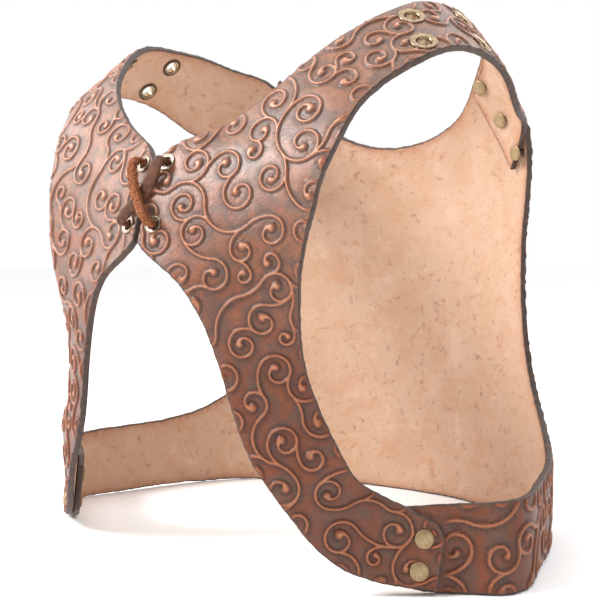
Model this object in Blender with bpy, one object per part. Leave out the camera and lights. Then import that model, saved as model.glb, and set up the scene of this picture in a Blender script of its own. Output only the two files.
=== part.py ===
"""Leather breastplate harness: two laced front panels riveted to one back panel with waist straps.

Metres, +Z up. The wearer faces -Y and the wearer's left is +X. The hem stands on z = 0, and the harness is
symmetric about x = 0. Lists of points are in millimetres.
"""

import math

import bmesh
import bpy
import numpy as np
from mathutils import Matrix, Vector
from mathutils.geometry import delaunay_2d_cdt

MM = 0.001

# Leather
THICK = 3.5  # every panel
LAYER_GAP = 0.6  # between two panels riveted together
CENTRE_EDGE_X = 1.0  # each front panel stops this far from the middle
MESH_STEP = 12.0  # spacing of the panels' triangles
EDGE_STEP = 9.0

# Plan of the outer face at the hem and at UPPER_Z, (x, y) from the middle of the back to the strap end
UPPER_Z = 231.0
HEM_PLAN = [(0, 127), (37, 124), (73, 113), (105, 95), (129, 67), (146, 31), (157, -5), (163, -27),
            (159, -41), (146, -50), (129, -61), (110, -76), (94, -90), (77, -101)]
UPPER_PLAN = [(0, 114), (36, 113), (70, 109), (100, 100), (122, 84), (137, 60), (147, 30), (151, 8),
              (147, -8), (136, -20), (120, -34), (102, -50), (86, -64), (70, -75)]
LEAN_FROM_Z = 200.0  # above this the back leans forward towards the shoulders
LEAN = 0.0036  # mm forward for each square mm of height

# Right half of the back panel's outline as (length along the plan, height). None marks a corner.
STRAP_END = 334.0
BACK_OUTLINE = [
    None, (0, 0), (120, 0), (240, 0), (296, 0), (316, 4), (STRAP_END, 11),
    None, (STRAP_END, 37),
    None, (324, 39), (290, 42), (255, 44), (220, 45), (186, 47), (161, 52), (142, 61), (123, 78), (111, 105),
    (107, 135), (109, 174), (115, 207), (117, 234),
    None, (85, 280),
    None, (72, 265), (61, 252), (45, 241), (23, 233), (0, 230),
]

# Stations of the left front panel, from its back end over the shoulder to its waist end:
# (neck, centre and lower edge point), (armhole edge point), outward bulge of the middle
SHOULDER_END = [  # (x, z) under the back
    ((68, 258), (93, 210)), ((75, 268), (99, 221)), ((82, 277), (105, 232))]
FRONT_STATIONS = [
    ((91, 55, 283), (119, 52, 239), 0.0),
    ((97, 30, 289), (127, 22, 254), 0.0),
    ((100, 6, 291), (129, -10, 262), 0.0),
    ((98, -18, 290), (127, -40, 260), 0.0),
    ((90, -40, 282), (119, -63, 250), 0.0),
    ((79, -59, 270), (111, -75, 241), 0.5),
    ((66, -76, 254), (104, -88, 226), 1.5),
    ((48, -87, 237), (100, -95, 212), 2.5),
    ((29, -95, 225), (96, -101, 197), 3.0),
    ((10, -106, 217), (93, -104, 182), 2.0),
    ((-5, -119, 195), (90, -106, 167), 1.5),
    ((1, -127, 168), (87, -106, 153), 1.5),
    ((21, -127, 153), (85, -104, 139), 2.0),
    ((40, -122, 128), (83, -100, 119), 2.0),
    ((51, -117, 94), (86, -96, 98), 2.0),
    ((60, -113, 66), (93, -92, 79), 2.0),
    ((76, -106, 41), (102, -88, 61), 1.5),
]
WAIST_END = [  # (plan length, z) over the strap
    ((346, 15), (330, 50)), ((335, 9), (322, 46)), ((320, 5), (311, 40)), ((296, 1.2), (292, 31))]
WAIST_CORNER = 7.0  # rounding of the waist end

# Hardware
SHOULDER_EYELET_RADIUS = 6.9
SHOULDER_HOLE_RADIUS = 3.7
LACING_EYELET_RADIUS = 4.7
LACING_HOLE_RADIUS = 2.5
RIVET_RADIUS = 4.6
POST_RADIUS = 1.4
POST_HOLE_RADIUS = 1.8
POST_HOLE_POINTS = 10
PUNCHED_WIDER = 1.0  # the leather's hole beyond an eyelet's own, which leaves room for the barrel
LACE_RADIUS = 1.5
LACE_OVER = 3.9  # from the outer face to the lace's middle line, where it leaves an eyelet
LACE_UNDER = 10.5  # from the outer face to its middle line inside
LACE_CROSSINGS = [4.2, 8.2]  # how far in front of the eyelets the two crossing runs pass the middle
LACE_END = (3.2, 13.5, -1.5)  # where each end stops: x, and y and z from the lower eyelets
SEAT = 0.55  # from an outer face to the part on it
INNER_SEAT = 0.8  # from an inner, hollow face to the part on it
TURN_SEGMENTS = 12
LACE_POINTS = 64
SHOULDER_EYELETS = [(4.8, 0.27), (4.8, 0.77), (6.5, 0.27), (6.5, 0.77)]  # (station, share of the width)
LACING_EYELETS = [(8, 207), (8.6, 176)]  # (x, z)
WAIST_RIVETS = [(303, 26), (305, 11)]  # (plan length, z) on the strap
BACK_RIVETS = [(76, 263), (88, 242), (99, 221)]  # (x, z) on the back panel


class Curve:
    """A natural cubic spline through points of any dimension, read at a length along its chords."""

    def __init__(self, points, lengths=None):
        self.points = np.array(points, float)
        steps = np.linalg.norm(np.diff(self.points, axis=0), axis=1)
        self.at = np.concatenate([[0.0], np.cumsum(steps)]) if lengths is None else lengths
        gaps = np.diff(self.at)
        count = len(self.at)
        matrix = np.eye(count)
        right = np.zeros_like(self.points)
        for i in range(1, count - 1):
            matrix[i, i - 1:i + 2] = gaps[i - 1], 2 * (gaps[i - 1] + gaps[i]), gaps[i]
            slopes = np.diff(self.points[i - 1:i + 2], axis=0) / gaps[i - 1:i + 1, None]
            right[i] = 6 * (slopes[1] - slopes[0])
        self.bends = np.linalg.solve(matrix, right)

    def __call__(self, lengths):
        lengths = np.clip(np.asarray(lengths, float), self.at[0], self.at[-1])
        i = np.clip(np.searchsorted(self.at, lengths) - 1, 0, len(self.at) - 2)
        gap = (self.at[i + 1] - self.at[i])[..., None]
        b = (lengths - self.at[i])[..., None] / gap
        a = 1 - b
        smooth = ((a**3 - a) * self.bends[i] + (b**3 - b) * self.bends[i + 1]) * gap**2 / 6
        return a * self.points[i] + b * self.points[i + 1] + smooth


class Sheet:
    """A curved outer face in millimetres, addressed by two flat coordinates that are nearly lengths."""

    def point(self, flat):
        raise NotImplementedError

    def frame(self, flat):
        """The point, the two tangents and the outward normal at flat coordinates."""
        flat = np.asarray(flat, float)
        step = 0.05
        point = self.point(flat)
        first = (self.point(flat + [step, 0]) - self.point(flat - [step, 0])) / (2 * step)
        second = (self.point(flat + [0, step]) - self.point(flat - [0, step])) / (2 * step)
        normal = np.cross(first, second)
        return point, first, second, normal / np.linalg.norm(normal, axis=-1, keepdims=True)

    def offset(self, flat, out):
        point, _, _, normal = self.frame(flat)
        return point + normal * out

    def nearest(self, target, start):
        """Flat coordinates of the point of the face nearest a target, by Gauss-Newton from a start."""
        flat = np.array(start, float)
        for _ in range(20):
            point, first, second, _ = self.frame(flat)
            jacobian = np.stack([first, second], axis=1)
            flat += np.clip(np.linalg.pinv(jacobian) @ (np.asarray(target, float) - point), -4, 4)
        return flat

    def ring(self, centre, radius, count):
        """Flat coordinates of a circle of this real radius lying in the face."""
        _, first, second, normal = self.frame(centre)
        across = first / np.linalg.norm(first)
        jacobian = np.stack([first, second], axis=1)
        turns = np.arange(count) * 2 * np.pi / count
        circle = np.outer(np.cos(turns), across) + np.outer(np.sin(turns), np.cross(normal, across))
        return centre + radius * (np.linalg.pinv(jacobian) @ circle.T).T


class BackSheet(Sheet):
    """The back panel and its waist straps: flat coordinates are (length along the plan, height)."""

    def __init__(self):
        self.hem = Curve(HEM_PLAN)
        self.upper = Curve(UPPER_PLAN, self.hem.at)

    def point(self, flat):
        flat = np.asarray(flat, float)
        along, z = flat[..., 0], flat[..., 1]
        share = np.clip(z / UPPER_Z, 0, 1.05)[..., None]
        plan = self.hem(np.abs(along)) * (1 - share) + self.upper(np.abs(along)) * share
        lean = LEAN * np.maximum(z - LEAN_FROM_Z, 0) ** 2
        return np.stack([plan[..., 0] * np.sign(along), plan[..., 1] - lean, z], axis=-1)

    def frame(self, flat):
        point, first, second, normal = super().frame(flat)
        return point, first, second, -normal

    def at_xz(self, x, z):
        """Flat coordinates of the point with this x and z on the left half of the back."""
        low, high = 0.0, 160.0
        for _ in range(40):
            middle = (low + high) / 2
            if self.point([middle, z])[0] < x:
                low = middle
            else:
                high = middle
        return np.array([low, z])


class FrontSheet(Sheet):
    """The left front panel: flat coordinates are (length along the strip, share of the width x WIDTH)."""

    WIDTH = 60.0

    def __init__(self, back):
        layer = THICK + LAYER_GAP
        rows = []
        for ends in SHOULDER_END:
            flats = np.array([back.at_xz(*end) for end in ends])
            rows.append([back.offset(flat, -layer) for flat in (flats[0], flats.mean(axis=0), flats[1])])
        middles = [np.add(neck, arm) / 2 for neck, arm, _ in FRONT_STATIONS]
        for i, (neck, arm, bulge) in enumerate(FRONT_STATIONS):
            along = middles[min(i + 1, len(middles) - 1)] - middles[max(i - 1, 0)]
            out = np.cross(along, np.subtract(arm, neck))
            rows.append([neck, middles[i] + bulge * out / np.linalg.norm(out), arm])
        for ends in WAIST_END:
            flats = np.array(ends, float)
            rows.append([back.offset(flat, layer) for flat in (flats[0], flats.mean(axis=0), flats[1])])
        rows = np.array(rows)
        middle = Curve(rows[:, 1])
        self.at = middle.at
        self.curves = [Curve(rows[:, k], self.at) for k in range(3)]
        self.length = self.at[-1]

    def point(self, flat):
        flat = np.asarray(flat, float)
        share = (flat[..., 1] / self.WIDTH)[..., None]
        neck, middle, arm = (curve(flat[..., 0]) for curve in self.curves)
        return (neck * (1 - share) * (1 - 2 * share) + middle * 4 * share * (1 - share)
                + arm * share * (2 * share - 1))

    def frame(self, flat):
        flat = np.asarray(flat, float)
        inside = flat.copy()
        inside[..., 0] = np.clip(flat[..., 0], 0.06, self.length - 0.06)
        _, first, second, normal = super().frame(inside)
        return self.point(flat), first, second, normal

    def at_station(self, station, share):
        return np.array([np.interp(station, range(len(self.at)), self.at), share * self.WIDTH])

    def centre_edge(self, along):
        """The lowest width coordinate that stays beyond CENTRE_EDGE_X."""
        widths = np.linspace(0, self.WIDTH / 2, 400)
        x = self.point(np.stack([np.full_like(widths, along), widths], axis=-1))[:, 0]
        return widths[np.argmax(x >= CENTRE_EDGE_X)] if x[0] < CENTRE_EDGE_X else 0.0


def walk(points, step):
    """The polyline's points at even steps, with both ends."""
    points = np.array(points, float)
    lengths = np.concatenate([[0.0], np.cumsum(np.linalg.norm(np.diff(points, axis=0), axis=1))])
    marks = np.linspace(0, lengths[-1], max(2, math.ceil(lengths[-1] / step) + 1))
    return np.stack([np.interp(marks, lengths, points[:, k]) for k in (0, 1)], axis=-1)


def back_outline(step):
    """The whole closed outline, with a spline between each two corners."""
    stretches, corner = [], None
    for entry in BACK_OUTLINE:
        if entry is None:
            stretches.append([corner] if corner else [])
            continue
        stretches[-1].append(entry)
        corner = entry
    half = []
    for stretch in stretches:
        curve = Curve(stretch)
        half.extend(walk(curve(np.linspace(0, curve.at[-1], 200)), step)[:-1])
    right = np.maximum(half, 0)  # the hem is level
    top = np.array([BACK_OUTLINE[-1]], float)
    left = right[:0:-1] * [-1, 1]
    return np.concatenate([right, top, left])


def front_outline(sheet, step):
    """The closed outline: neck, centre and lower edge, waist end with round corners, and armhole edge."""
    along = np.linspace(0, sheet.length, 1500)
    inner = np.stack([along, [sheet.centre_edge(a) for a in along]], axis=-1)
    trimmed = np.nonzero(inner[:, 1] > 0)[0]
    corners = [trimmed[0] - 1, trimmed[-1] + 1]
    turn = np.linspace(0, np.pi / 2, 5)
    end = np.stack([sheet.length - WAIST_CORNER * (1 - np.cos(turn)),
                    sheet.WIDTH - 2 * WAIST_CORNER * (1 - np.sin(turn))], axis=-1)
    stretches = [walk(inner[:corners[0] + 1], step), walk(inner[corners[0]:corners[1] + 1], step),
                 walk(inner[corners[1]:], step), walk([inner[-1], end[0]], step), end,
                 walk([end[-1], (0, sheet.WIDTH)], step), walk([(0, sheet.WIDTH), (0, 0)], step)]
    return np.concatenate([stretch[:-1] for stretch in stretches])


def inside(points, ring):
    """Which points are inside the closed ring."""
    points = np.asarray(points, float)
    ring = np.asarray(ring, float)
    found = np.zeros(len(points), bool)
    for (x1, y1), (x2, y2) in zip(ring, np.roll(ring, -1, axis=0)):
        crossing = (y1 > points[:, 1]) != (y2 > points[:, 1])
        if y1 != y2:
            found ^= crossing & (points[:, 0] < (x2 - x1) * (points[:, 1] - y1) / (y2 - y1) + x1)
    return found


def flat_mesh(outline, holes, step):
    """Triangles filling the outline round the holes: (flat points, faces)."""
    rings = [np.asarray(outline)] + [np.asarray(hole) for hole in holes]
    low, high = rings[0].min(axis=0), rings[0].max(axis=0)
    height = step * math.sqrt(0.75)
    grid = [(x + (row % 2) * step / 2, y) for row, y in enumerate(np.arange(low[1], high[1], height))
            for x in np.arange(low[0], high[0], step)]
    grid = np.array(grid)
    grid = grid[inside(grid, rings[0])]
    for k, ring in enumerate(rings):
        if k:
            grid = grid[~inside(grid, ring)]
        away = np.linalg.norm(grid[:, None] - ring[None], axis=-1).min(axis=1)
        grid = grid[away > step * (0.6 if k == 0 else 0.5)]
    points, edges = [], []
    for ring in rings:
        first = len(points)
        edges += [(first + i, first + (i + 1) % len(ring)) for i in range(len(ring))]
        points += list(ring)
    points += list(grid)
    found, _, faces, _, _, _ = delaunay_2d_cdt([Vector(p) for p in points], edges, [], 0, 1e-6)
    flat = np.array([tuple(p) for p in found])
    faces = np.array(faces)
    middles = flat[faces].mean(axis=1)
    keep = inside(middles, rings[0])
    for ring in rings[1:]:
        keep &= ~inside(middles, ring)
    return flat, faces[keep]


def material(name, color, roughness, metallic=0.0):
    made = bpy.data.materials.new(name)
    made.use_nodes = True
    shader = made.node_tree.nodes["Principled BSDF"]
    shader.inputs["Base Color"].default_value = (*color, 1)
    shader.inputs["Roughness"].default_value = roughness
    shader.inputs["Metallic"].default_value = metallic
    return made


def add_mesh(name, work, finish, place=None):
    """An object from a bmesh, shaded smooth but for its sharp edges."""
    bmesh.ops.recalc_face_normals(work, faces=work.faces)
    if work.calc_volume(signed=True) < 0:
        bmesh.ops.reverse_faces(work, faces=work.faces)
    mesh = bpy.data.meshes.new(name)
    work.to_mesh(mesh)
    work.free()
    mesh.shade_smooth()
    mesh.set_sharp_from_angle(angle=math.radians(40))
    mesh.materials.append(finish)
    return add_object(name, mesh, place)


def add_object(name, mesh, place=None):
    made = bpy.data.objects.new(name, mesh)
    if place is not None:
        made.matrix_world = place
    bpy.context.scene.collection.objects.link(made)
    return made


def leather_panel(name, sheet, outline, holes, finish, mirror=False):
    """A panel THICK deep behind its outer face, with the holes punched square to the face."""
    flat, faces = flat_mesh(outline, holes, MESH_STEP)
    point, _, _, normal = sheet.frame(flat)
    work = bmesh.new()
    side = np.array([-1 if mirror else 1, 1, 1])
    flesh = point - normal * THICK
    flesh[:, 2] = np.maximum(flesh[:, 2], 0)  # the hem is cut level
    outer = [work.verts.new(p) for p in point * side * MM]
    inner = [work.verts.new(p) for p in flesh * side * MM]
    for a, b, c in faces:
        work.faces.new((outer[a], outer[b], outer[c]))
        work.faces.new((inner[c], inner[b], inner[a]))
    twins = dict(zip(outer, inner))
    for edge in [e for e in work.edges if len(e.link_faces) == 1 and e.verts[0] in twins]:
        a, b = edge.verts
        work.faces.new((a, b, twins[b], twins[a]))
    return add_mesh(name, work, finish)


def turned(name, profile, finish):
    """A mesh turned about Z from a closed profile of (radius, height) in millimetres."""
    work = bmesh.new()
    verts = [work.verts.new((r * MM, 0, z * MM)) for r, z in profile]
    edges = [work.edges.new((a, b)) for a, b in zip(verts, verts[1:] + verts[:1])
             if a.co.x > 0 or b.co.x > 0]
    bmesh.ops.spin(work, geom=verts + edges, cent=(0, 0, 0), axis=(0, 0, 1), angle=2 * math.pi,
                   steps=TURN_SEGMENTS, use_duplicate=False)
    bmesh.ops.remove_doubles(work, verts=work.verts, dist=1e-6)
    made = add_mesh(name, work, finish)
    mesh = made.data
    bpy.data.objects.remove(made)
    return mesh


def eyelet_meshes(name, radius, hole, finish):
    """An eyelet, with its barrel rolled over inside, and its washer. z = 0 is the outer face."""
    barrel = hole + 0.5
    floor = -THICK - INNER_SEAT
    inner = barrel + 0.3
    eyelet = turned(name, [
        (hole, 0.4), (hole + 0.8, 1.5), (radius - 0.8, 1.5), (radius, SEAT),
        (barrel, SEAT), (barrel, floor - 1.2), (barrel + 0.8, floor - 1.7), (hole, floor - 1.9)], finish)
    washer = turned(name + "_washer", [
        (inner, floor), (radius, floor), (radius - 0.3, floor - 0.8), (inner, floor - 0.9)], finish)
    return eyelet, washer


def rivet_meshes(finish):
    """A double-cap rivet: z = 0 is the outer face of the outer panel."""
    stack = 2 * THICK + LAYER_GAP
    bore = POST_RADIUS + 0.3
    cap = turned("rivet_cap", [
        (0, 2.0), (RIVET_RADIUS * 0.6, 1.8), (RIVET_RADIUS - 0.3, 1.2), (RIVET_RADIUS, SEAT),
        (bore, SEAT), (bore, 1.2), (0, 1.2)], finish)
    floor = -stack - INNER_SEAT
    post = turned("rivet_post", [
        (0, 0.9), (POST_RADIUS, 0.9), (POST_RADIUS, floor), (RIVET_RADIUS, floor),
        (RIVET_RADIUS - 0.8, floor - 1.0), (0, floor - 1.2)], finish)
    return cap, post


def stand_on(point, normal, mirror=False):
    """A placing matrix at a point with Z along the normal, and its mirror image across x = 0."""
    point, normal = Vector(point) * MM, Vector(normal)
    if mirror:
        point.x, normal.x = -point.x, -normal.x
    return Matrix.Translation(point) @ normal.to_track_quat("Z", "Y").to_matrix().to_4x4()


def lace_route(front, eyelets):
    """The lace: an end inside, out of a lower hole, across, in, level inside, out, across and in again."""
    def near(height, side, out):
        point, _, _, normal = front.frame(eyelets[height])
        return (point + normal * out) * [side, 1, 1]

    top, low = 0, 1
    through = -THICK / 2
    crossing = (near(top, 1, 0) + near(low, 1, 0)) / 2
    level = near(top, 1, 0)
    end = near(low, 1, 0) + [0, LACE_END[1], LACE_END[2]]
    first_run, second_run = ([0, crossing[1] - out, crossing[2] - 1] for out in LACE_CROSSINGS)
    curve = Curve([
        [-LACE_END[0], end[1], end[2]],
        near(low, -1, -LACE_UNDER), near(low, -1, through), near(low, -1, LACE_OVER),
        first_run,
        near(top, 1, LACE_OVER), near(top, 1, through), near(top, 1, -LACE_UNDER),
        [0, level[1] + LACE_UNDER + 2, level[2] + 1],
        near(top, -1, -LACE_UNDER), near(top, -1, through), near(top, -1, LACE_OVER),
        second_run,
        near(low, 1, LACE_OVER), near(low, 1, through), near(low, 1, -LACE_UNDER),
        [LACE_END[0], end[1], end[2]],
    ])
    return curve(np.linspace(0, curve.at[-1], LACE_POINTS))


def tube(name, points, radius, finish):
    data = bpy.data.curves.new(name, "CURVE")
    data.dimensions = "3D"
    data.bevel_depth = radius * MM
    data.bevel_resolution = 2
    data.use_fill_caps = True
    spline = data.splines.new("POLY")
    spline.points.add(len(points) - 1)
    for place, point in zip(spline.points, points):
        place.co = (*(np.asarray(point) * MM), 1)
    data.materials.append(finish)
    return add_object(name, data)


def main():
    for old in list(bpy.data.objects):
        bpy.data.objects.remove(old)
    leather = material("embossed_leather", (0.30, 0.13, 0.07), 0.45)
    suede = material("suede", (0.36, 0.15, 0.06), 0.9)
    brass = material("antique_brass", (0.42, 0.32, 0.18), 0.35, 1.0)

    back = BackSheet()
    front = FrontSheet(back)
    eyelet, washer = eyelet_meshes(
        "shoulder_eyelet", SHOULDER_EYELET_RADIUS, SHOULDER_HOLE_RADIUS, brass)
    small_eyelet, small_washer = eyelet_meshes(
        "lacing_eyelet", LACING_EYELET_RADIUS, LACING_HOLE_RADIUS, brass)
    cap, post = rivet_meshes(brass)

    shoulder = [front.at_station(*place) for place in SHOULDER_EYELETS]
    start = front.at_station(12.5, 0.15)
    lacing = []
    for x, z in LACING_EYELETS:
        y = front.point(start)[1]
        for _ in range(6):
            flat = front.nearest((x, y, z), start)
            y = front.point(flat)[1]
        lacing.append(flat)
    front_holes = [front.ring(flat, SHOULDER_HOLE_RADIUS + PUNCHED_WIDER, TURN_SEGMENTS)
                   for flat in shoulder]
    front_holes += [front.ring(flat, LACING_HOLE_RADIUS + PUNCHED_WIDER, TURN_SEGMENTS) for flat in lacing]
    back_holes = []
    rivets = []
    layer = THICK + LAYER_GAP
    waist_start = front.at_station(21.5, 0.5)
    shoulder_start = front.at_station(0.5, 0.5)
    for number, flat in enumerate(WAIST_RIVETS, 1):
        point, _, _, normal = back.frame(flat)
        rivets.append(("waist", number, point + normal * layer, normal))
        over = front.nearest(point + normal * layer, waist_start)
        front_holes.append(front.ring(over, POST_HOLE_RADIUS, POST_HOLE_POINTS))
        back_holes.append(back.ring(flat, POST_HOLE_RADIUS, POST_HOLE_POINTS))
    for number, (x, z) in enumerate(BACK_RIVETS, 1):
        flat = back.at_xz(x, z)
        point, _, _, normal = back.frame(flat)
        rivets.append(("back", number, point, normal))
        under = front.nearest(point - normal * layer, shoulder_start)
        front_holes.append(front.ring(under, POST_HOLE_RADIUS, POST_HOLE_POINTS))
        back_holes.append(back.ring(flat, POST_HOLE_RADIUS, POST_HOLE_POINTS))
    back_holes += [ring * [-1, 1] for ring in back_holes]

    leather_panel("back_panel", back, back_outline(EDGE_STEP), back_holes, leather)
    outline = front_outline(front, EDGE_STEP)
    for side, mirror in (("left", False), ("right", True)):
        leather_panel(f"front_panel_{side}", front, outline, front_holes, leather, mirror)
        for number, flat in enumerate(shoulder, 1):
            point, _, _, normal = front.frame(flat)
            place = stand_on(point, normal, mirror)
            add_object(f"shoulder_eyelet_{side}_{number}", eyelet, place)
            add_object(f"shoulder_washer_{side}_{number}", washer, place)
        for name, flat in zip(("top", "low"), lacing):
            point, _, _, normal = front.frame(flat)
            place = stand_on(point, normal, mirror)
            add_object(f"lacing_eyelet_{side}_{name}", small_eyelet, place)
            add_object(f"lacing_washer_{side}_{name}", small_washer, place)
        for where, number, point, normal in rivets:
            place = stand_on(point, normal, mirror)
            add_object(f"{where}_rivet_cap_{side}_{number}", cap, place)
            add_object(f"{where}_rivet_post_{side}_{number}", post, place)
    tube("lace", lace_route(front, lacing), LACE_RADIUS, suede)


main()
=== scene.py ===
"""Embossed leather breastplate harness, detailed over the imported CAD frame.

Lengths in the lists and in the shape functions are millimetres; meshes are written in metres. The three
leather panels are rebuilt on the CAD's own faces with raised scrollwork, rounded cut edges and a flesh side.
"""

import math

import bmesh
import bpy
import numpy as np
from mathutils import Matrix, Vector
from mathutils.geometry import delaunay_2d_cdt
from mathutils.kdtree import KDTree


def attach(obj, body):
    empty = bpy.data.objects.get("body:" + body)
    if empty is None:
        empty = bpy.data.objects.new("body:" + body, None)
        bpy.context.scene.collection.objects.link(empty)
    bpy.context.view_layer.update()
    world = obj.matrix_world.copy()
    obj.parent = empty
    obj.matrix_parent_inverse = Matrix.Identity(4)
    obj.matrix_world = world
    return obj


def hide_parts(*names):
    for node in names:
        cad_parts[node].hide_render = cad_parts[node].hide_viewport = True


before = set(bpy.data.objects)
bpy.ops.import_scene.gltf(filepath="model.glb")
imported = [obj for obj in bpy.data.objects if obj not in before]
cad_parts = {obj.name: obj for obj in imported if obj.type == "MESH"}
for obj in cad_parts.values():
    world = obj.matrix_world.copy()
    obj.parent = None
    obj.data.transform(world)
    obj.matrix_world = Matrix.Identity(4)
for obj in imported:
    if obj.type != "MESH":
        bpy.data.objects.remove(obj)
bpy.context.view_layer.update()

MM = 0.001

# The leather panels as the CAD has them. The back panel's face runs from the hem's plan curve (x, y) to the
# upper one, and leans in above LEAN_FROM_Z.
THICK = 3.5
LAYER_GAP = 0.6  # between two riveted layers
CENTRE_EDGE_X = 1.0  # where the front panels meet
UPPER_Z = 231.0
HEM_PLAN = [(0, 127), (37, 124), (73, 113), (105, 95), (129, 67), (146, 31), (157, -5), (163, -27),
            (159, -41), (146, -50), (129, -61), (110, -76), (94, -90), (77, -101)]
UPPER_PLAN = [(0, 114), (36, 113), (70, 109), (100, 100), (122, 84), (137, 60), (147, 30), (151, 8),
              (147, -8), (136, -20), (120, -34), (102, -50), (86, -64), (70, -75)]
LEAN_FROM_Z = 200.0
LEAN = 0.0036
STRAP_END = 334.0
# Half of the back panel laid flat, as (length from the middle, height). None starts a new smooth stretch.
BACK_OUTLINE = [
    None, (0, 0), (120, 0), (240, 0), (296, 0), (316, 4), (STRAP_END, 11),
    None, (STRAP_END, 37),
    None, (324, 39), (290, 42), (255, 44), (220, 45), (186, 47), (161, 52), (142, 61), (123, 78), (111, 105),
    (107, 135), (109, 174), (115, 207), (117, 234),
    None, (85, 280),
    None, (72, 265), (61, 252), (45, 241), (23, 233), (0, 230),
]
# The left front panel from back to waist, neck edge first: (x, z) on the back panel, then points in space and
# the bulge between them, then (length, height) on the back panel.
SHOULDER_END = [((68, 258), (93, 210)), ((75, 268), (99, 221)), ((82, 277), (105, 232))]
FRONT_STATIONS = [
    ((91, 55, 283), (119, 52, 239), 0.0),
    ((97, 30, 289), (127, 22, 254), 0.0),
    ((100, 6, 291), (129, -10, 262), 0.0),
    ((98, -18, 290), (127, -40, 260), 0.0),
    ((90, -40, 282), (119, -63, 250), 0.0),
    ((79, -59, 270), (111, -75, 241), 0.5),
    ((66, -76, 254), (104, -88, 226), 1.5),
    ((48, -87, 237), (100, -95, 212), 2.5),
    ((29, -95, 225), (96, -101, 197), 3.0),
    ((10, -106, 217), (93, -104, 182), 2.0),
    ((-5, -119, 195), (90, -106, 167), 1.5),
    ((1, -127, 168), (87, -106, 153), 1.5),
    ((21, -127, 153), (85, -104, 139), 2.0),
    ((40, -122, 128), (83, -100, 119), 2.0),
    ((51, -117, 94), (86, -96, 98), 2.0),
    ((60, -113, 66), (93, -92, 79), 2.0),
    ((76, -106, 41), (102, -88, 61), 1.5),
]
WAIST_END = [((346, 15), (330, 50)), ((335, 9), (322, 46)), ((320, 5), (311, 40)), ((296, 1.2), (292, 31))]
WAIST_CORNER = 7.0

# Hardware and lace as the CAD has them
SHOULDER_EYELET_RADIUS, SHOULDER_HOLE_RADIUS = 6.9, 3.7
LACING_EYELET_RADIUS, LACING_HOLE_RADIUS = 4.7, 2.5
RIVET_RADIUS, POST_RADIUS = 4.6, 1.4
BARREL_ROOM, POST_ROOM = 1, 0.4  # the punched holes are this much wider
LACE_OVER, LACE_UNDER = 3.9, 10.5  # distance of the lace from the leather outside and inside
LACE_CROSSINGS = [4.2, 8.2]  # how far each run stands out where they cross
LACE_END = (3.2, 13.5, -1.5)
SHOULDER_EYELETS = [(4.8, 0.27), (4.8, 0.77), (6.5, 0.27), (6.5, 0.77)]  # (station, share of the width)
LACING_EYELETS = [(8, 207), (8.6, 176)]  # (x, z)
WAIST_RIVETS = [(303, 26), (305, 11)]  # (length, height) on the back panel
BACK_RIVETS = [(76, 263), (88, 242), (99, 221)]  # (x, z)
# Half width, half thickness and roughness of the lace at each point of its route
LACE_SECTIONS = [
    (2.6, 0.9, 0), (2.4, 1.0, 0), (1.9, 1.35, 0), (2.3, 1.2, 0), (3.6, 0.9, 0.05), (2.5, 1.2, 0),
    (1.9, 1.35, 0), (2.2, 1.1, 0.3), (2.5, 1.0, 0.4), (2.2, 1.1, 0.5), (1.9, 1.5, 0.9), (2.2, 1.8, 1),
    (2.35, 1.9, 1), (2.2, 1.8, 1), (1.9, 1.5, 1), (2.3, 1.0, 0.8), (2.6, 0.9, 0.6),
]

# Relief and finish
BEVEL = 0.8  # rounding of the cut edges
EDGE_STEP = 1.0  # spacing along the cut edges
FINE_STEP = 0.68  # mesh spacing on the scrollwork
PLAIN_STEP = 1.7  # mesh spacing between
FLESH_STEP = 3.0
BACK_FINE_STEP = 0.95  # the same on the back panel, whose strokes are bolder
BACK_BOLD = 1.3
NEAR_STROKE = 1.1  # fine mesh reaches this far beyond a stroke
BEAD_HEIGHT = 1.15
GROOVE_DEPTH = 0.22
PILLOW = 0.08  # rise of the plain leather between strokes
STEM_HALF = 0.95
STROKE_STEP = 0.5
EDGE_RELIEF = 0.45  # share of the relief that is left at the cut edge
# Where the embossing under a riveted layer goes flat: lengths on the back panel, stations on the front panels
WAIST_LAP = (289, 294)
SHOULDER_LAP = (2.2, 2.9)
# The cut edge from the outer face to the flesh side, as (share of BEVEL outwards, depth)
EDGE_PROFILE = [(0.3, 0.05), (0.7, 0.28), (0.95, 0.62), (1.0, 1.2), (1.0, 1.9), (1.0, 2.5),
                (0.93, THICK - 0.55), (0.66, THICK - 0.22), (0.3, THICK - 0.05)]
CLOSES_HOLE = 0.985  # a triangle centred nearer than this share of a hole's radius lies in the hole

SEAT, INNER_SEAT = 0.55, 0.8  # gaps under a rivet's cap and its inner head
FLANGE_SEAT, WASHER_SEAT, WASHER_THICK = 0.15, 0.35, 0.35  # the eyelets, pressed home
TURN_SEGMENTS = 48
KNOT_SIZE = 1.45
SEEDS = {"back_panel": 11, "front_panel_left": 3, "front_panel_right": 8, "lace": 5}

# Light, in metres and watts
SKY = 0.34  # strength of the even light from all round
SUN_STRENGTH, SUN_WIDTH, SUN_TILT = 2.4, 80, 20  # the last two in degrees
LIGHTS = {  # place, diameter, power
    "key": ((-0.8, -1.1, 1.15), 0.6, 31),
    "left": ((-1.5, -0.25, 0.8), 1.4, 16),
    "fill": ((1.4, -0.9, 0.4), 1.2, 6),
    "back": ((0.6, 1.6, 0.9), 1.4, 12),
}
LIT_POINT = (0, 0, 0.15)


def unit(vectors):
    return vectors / np.linalg.norm(vectors, axis=-1, keepdims=True)


def smoothstep(low, high, values):
    share = np.clip((values - low) / (high - low), 0, 1)
    return share * share * (3 - 2 * share)


def nearest_index(targets, points):
    """For each 2-D point, the index of the nearest target and its distance."""
    tree = KDTree(len(targets))
    for i, (x, y) in enumerate(targets):
        tree.insert((x, y, 0), i)
    tree.balance()
    found = [tree.find((x, y, 0)) for x, y in points]
    return np.array([f[1] for f in found]), np.array([f[2] for f in found])


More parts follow.
